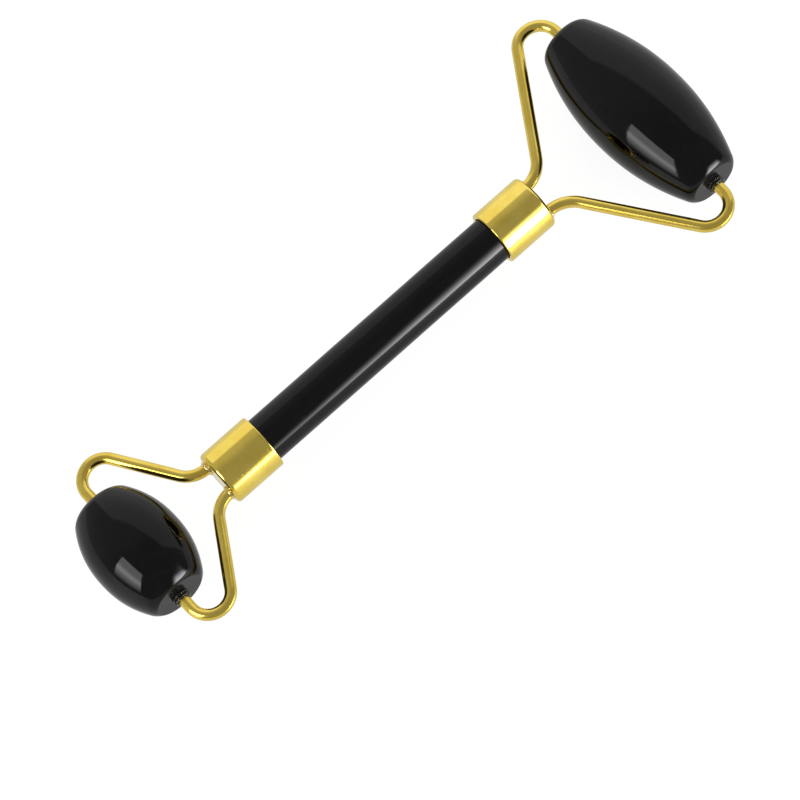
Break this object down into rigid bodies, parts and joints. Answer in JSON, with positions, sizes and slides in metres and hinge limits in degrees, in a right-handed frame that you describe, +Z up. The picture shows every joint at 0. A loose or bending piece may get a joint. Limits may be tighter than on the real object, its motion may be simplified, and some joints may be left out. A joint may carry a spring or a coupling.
{
  "type": "face roller",
  "caption": "Double-ended face massage roller: polished black stone barrels turning on bent gold wire arms at the ends of a round stone handle.",
  "frame": {"origin": "under the middle of the whole roller, at the height of the large roller's belly as it lies on a table", "axes": "+X along the handle from the small roller to the large one, +Y along the roller axles, +Z up through the thin way of the wire arms"},
  "size_m": [0.1398, 0.0556, 0.0195],
  "materials": {
    "handle_stone": "polished",
    "roller_stone": "polished",
    "ferrule_gold": "polished gold plate",
    "wire_gold": "polished gold plate",
    "braze": "polished gold plate",
    "epoxy": "cured resin",
    "bush_nylon": "smooth moulded nylon"
  },
  "bodies": {
    "handle_frame": {"handle": "handle_stone", "large_ferrule": "ferrule_gold", "small_ferrule": "ferrule_gold", "large_epoxy": "epoxy", "small_epoxy": "epoxy", "large_arm_left": "wire_gold", "large_arm_right": "wire_gold", "small_arm_left": "wire_gold", "small_arm_right": "wire_gold", "large_braze_left": "braze", "large_braze_right": "braze", "small_braze_left": "braze", "small_braze_right": "braze"},
    "large_roller_set": {"large_roller": "roller_stone", "large_bush_left": "bush_nylon", "large_bush_right": "bush_nylon"},
    "small_roller_set": {"small_roller": "roller_stone", "small_bush_left": "bush_nylon", "small_bush_right": "bush_nylon"}
  },
  "joints": [
    {"name": "large_roller_spin", "type": "hinge", "parent": "handle_frame", "child": "large_roller_set", "pos_m": [0.06015, 0, 0.00975], "axis": [0, 1, 0], "continuous": true},
    {"name": "small_roller_spin", "type": "hinge", "parent": "handle_frame", "child": "small_roller_set", "pos_m": [-0.06085, 0, 0.00975], "axis": [0, 1, 0], "continuous": true}
  ]
}
